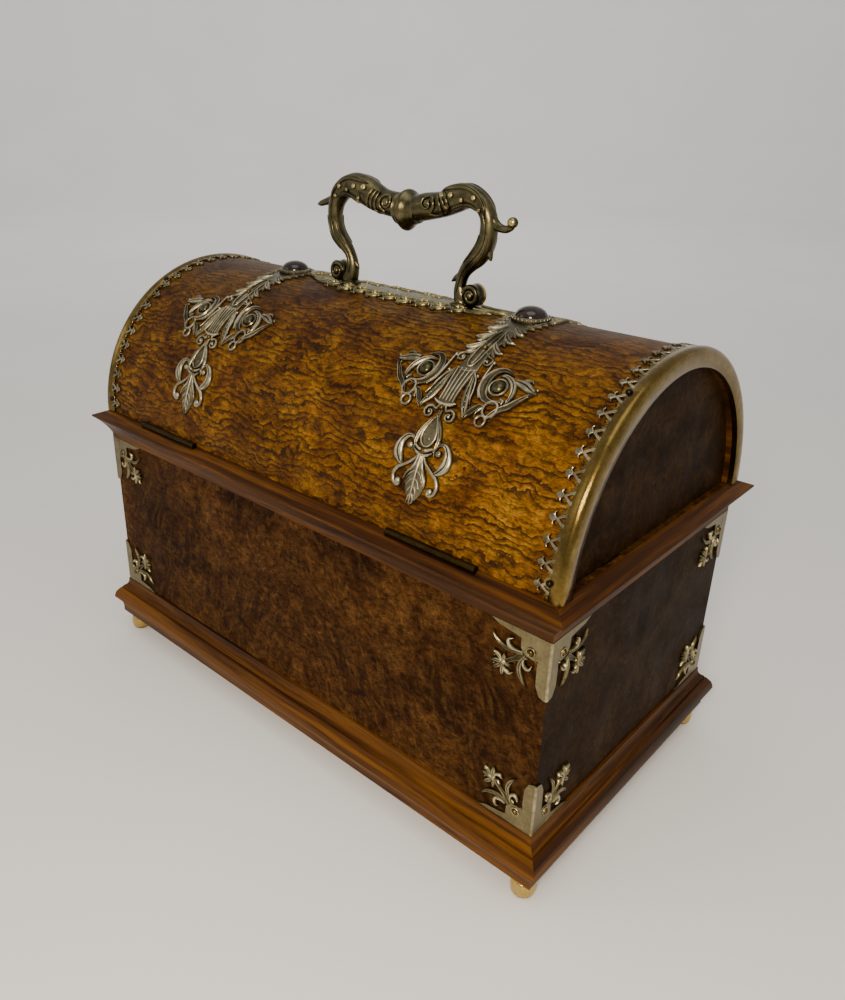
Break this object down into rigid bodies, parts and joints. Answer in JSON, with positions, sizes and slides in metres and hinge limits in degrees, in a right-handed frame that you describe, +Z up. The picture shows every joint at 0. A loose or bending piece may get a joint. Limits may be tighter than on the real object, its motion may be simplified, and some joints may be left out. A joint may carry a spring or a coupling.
{
  "type": "domed jewellery casket",
  "caption": "Domed-lid jewellery casket in burr walnut with pierced brass straps, brass end bands, corner mounts, a cast handle, a lock and a lift-out tray",
  "frame": {"origin": "centre of the base, on the standing plane under the bun feet", "axes": "+Z up, +X along the length, +Y to the front with the lock; the hinges are at -Y"},
  "size_m": [0.296, 0.1675, 0.262],
  "materials": {
    "walnut_burr_lid": "glossy golden burr walnut veneer",
    "walnut_burr_body": "polished dark red-brown burr walnut veneer",
    "walnut_moulding": "polished straight-grained walnut",
    "inside_wood": "satin mahogany",
    "pierced_brass": "pale aged brass, worn on the high parts",
    "brushed_brass": "brushed aged brass",
    "cast_brass": "cast brass, dark in the hollows",
    "steel": "dull steel",
    "velvet": "deep red velvet",
    "silk": "deep red silk, quilted",
    "dark_stone": "polished dark brown stone"
  },
  "bodies": {
    "carcase": {"base_board": "inside_wood", "bun_feet": "brushed_brass", "wall_front": "walnut_burr_body", "wall_back": "walnut_burr_body", "wall_left": "walnut_burr_body", "wall_right": "walnut_burr_body", "plinth_front": "walnut_moulding", "plinth_left": "walnut_moulding", "plinth_back": "walnut_moulding", "plinth_right": "walnut_moulding", "cornice_front": "walnut_moulding", "cornice_left": "walnut_moulding", "cornice_back": "walnut_moulding", "cornice_right": "walnut_moulding", "upper_corner_mounts": "pierced_brass", "lower_corner_mounts": "pierced_brass", "mount_pins": "pierced_brass", "well_floor_pad": "velvet", "well_linings": "velvet", "tray_bearers": "inside_wood", "lock_case": "steel", "lock_face_plate": "brushed_brass", "escutcheon": "brushed_brass", "body_screws": "brushed_brass", "stay_plates": "brushed_brass", "hinge_pins": "steel", "hinge_lower_leaf_left": "brushed_brass", "hinge_lower_leaf_right": "brushed_brass"},
    "lid": {"lid_dome": "walnut_burr_lid", "lid_end_left": "walnut_burr_body", "lid_end_right": "walnut_burr_body", "lid_rail_front": "inside_wood", "lid_rail_back": "inside_wood", "edge_band_left": "brushed_brass", "edge_band_right": "brushed_brass", "strap_left": "pierced_brass", "strap_right": "pierced_brass", "cabochons": "dark_stone", "strap_pins": "pierced_brass", "band_screws": "brushed_brass", "handle": "cast_brass", "handle_backplate": "cast_brass", "handle_nuts": "cast_brass", "lock_link_plate": "brushed_brass", "lid_lining": "silk", "hinge_upper_leaf_left": "brushed_brass", "hinge_upper_leaf_right": "brushed_brass", "lid_stays": "brushed_brass", "lid_screws": "brushed_brass"},
    "tray": {"tray_front": "inside_wood", "tray_back": "inside_wood", "tray_left": "inside_wood", "tray_right": "inside_wood", "tray_base": "inside_wood", "tray_dividers": "inside_wood", "tray_knobs": "brushed_brass", "ring_rolls": "velvet", "tray_pads": "velvet"},
    "bolt": {"lock_bolt": "steel"},
    "key": {"key": "steel"}
  },
  "joints": [
    {"name": "lid_hinge", "type": "hinge", "parent": "carcase", "child": "lid", "pos_m": [0, -0.0756, 0.1379], "axis": [1, 0, 0], "range_deg": [0, 78]},
    {"name": "key_turn", "type": "hinge", "parent": "carcase", "child": "key", "pos_m": [0, 0.07, 0.107], "axis": [0, 1, 0], "range_deg": [0, 180]},
    {"name": "bolt_slide", "type": "slide", "parent": "carcase", "child": "bolt", "axis": [1, 0, 0], "range_m": [0, 0.005]},
    {"name": "tray_lift", "type": "slide", "parent": "carcase", "child": "tray", "axis": [0, 0, 1], "range_m": [0, 0.024]}
  ],
  "couplings": [
    {"joint": "key_turn", "follows": "bolt_slide", "rad_per_m": 628}
  ]
}
